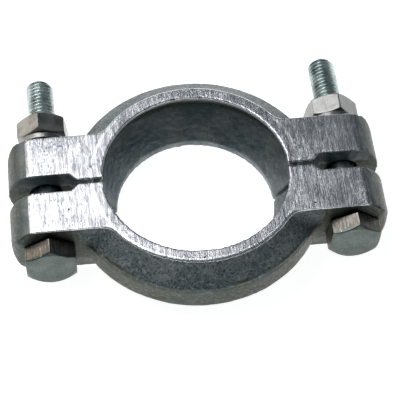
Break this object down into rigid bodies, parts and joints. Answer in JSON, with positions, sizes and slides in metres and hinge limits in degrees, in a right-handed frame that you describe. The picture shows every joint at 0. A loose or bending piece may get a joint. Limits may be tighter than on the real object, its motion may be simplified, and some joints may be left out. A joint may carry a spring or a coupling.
{
  "type": "two-bolt split pipe clamp",
  "caption": "Split ring clamp: two forged half rings with an inner groove and bolt lugs, drawn together by hex bolts, lock washers and nuts.",
  "frame": {"origin": "centre of the bore in the bottom ground face, the face the clamp lies on", "axes": "+Z along the pipe axis from the small lower lip to the large upper lip, +X through the two bolts, +Y from the bolt heads to the nuts"},
  "size_m": [0.13, 0.0964, 0.023],
  "materials": {
    "forged_zinc": "satin",
    "zinc_fastener": "satin"
  },
  "bodies": {
    "front_half": {"front_half": "forged_zinc"},
    "back_half": {"back_half": "forged_zinc"},
    "bolt_left": {"bolt_left": "zinc_fastener"},
    "bolt_right": {"bolt_right": "zinc_fastener"},
    "washer_left": {"washer_left": "zinc_fastener"},
    "washer_right": {"washer_right": "zinc_fastener"},
    "nut_left": {"nut_left": "zinc_fastener"},
    "nut_right": {"nut_right": "zinc_fastener"}
  },
  "joints": [
    {"name": "bolt_left_turn", "type": "hinge", "parent": "front_half", "child": "bolt_left", "pos_m": [-0.0518, 0, 0.0115], "axis": [0, -1, 0], "range_deg": [-264, 4488]},
    {"name": "bolt_right_turn", "type": "hinge", "parent": "front_half", "child": "bolt_right", "pos_m": [0.0518, 0, 0.0115], "axis": [0, -1, 0], "range_deg": [-264, 4488]},
    {"name": "clamp_opening", "type": "slide", "parent": "front_half", "child": "back_half", "axis": [0, 1, 0], "range_m": [-0.0011, 0.0187]},
    {"name": "nut_left_travel", "type": "slide", "parent": "back_half", "child": "washer_left", "axis": [0, 1, 0], "range_m": [0, 0.028]},
    {"name": "nut_left_turn", "type": "hinge", "parent": "washer_left", "child": "nut_left", "pos_m": [-0.0518, 0, 0.0115], "axis": [0, 1, 0], "range_deg": [0, 6720]},
    {"name": "nut_right_travel", "type": "slide", "parent": "back_half", "child": "washer_right", "axis": [0, 1, 0], "range_m": [0, 0.03]},
    {"name": "nut_right_turn", "type": "hinge", "parent": "washer_right", "child": "nut_right", "pos_m": [0.0518, 0, 0.0115], "axis": [0, 1, 0], "range_deg": [0, 7200]}
  ],
  "couplings": [
    {"joint": "bolt_left_turn", "follows": "clamp_opening", "rad_per_m": 4188.8},
    {"joint": "bolt_right_turn", "follows": "clamp_opening", "rad_per_m": 4188.8},
    {"joint": "nut_left_travel", "follows": "nut_left_turn", "m_per_rad": 0.00023873},
    {"joint": "nut_right_travel", "follows": "nut_right_turn", "m_per_rad": 0.00023873}
  ]
}
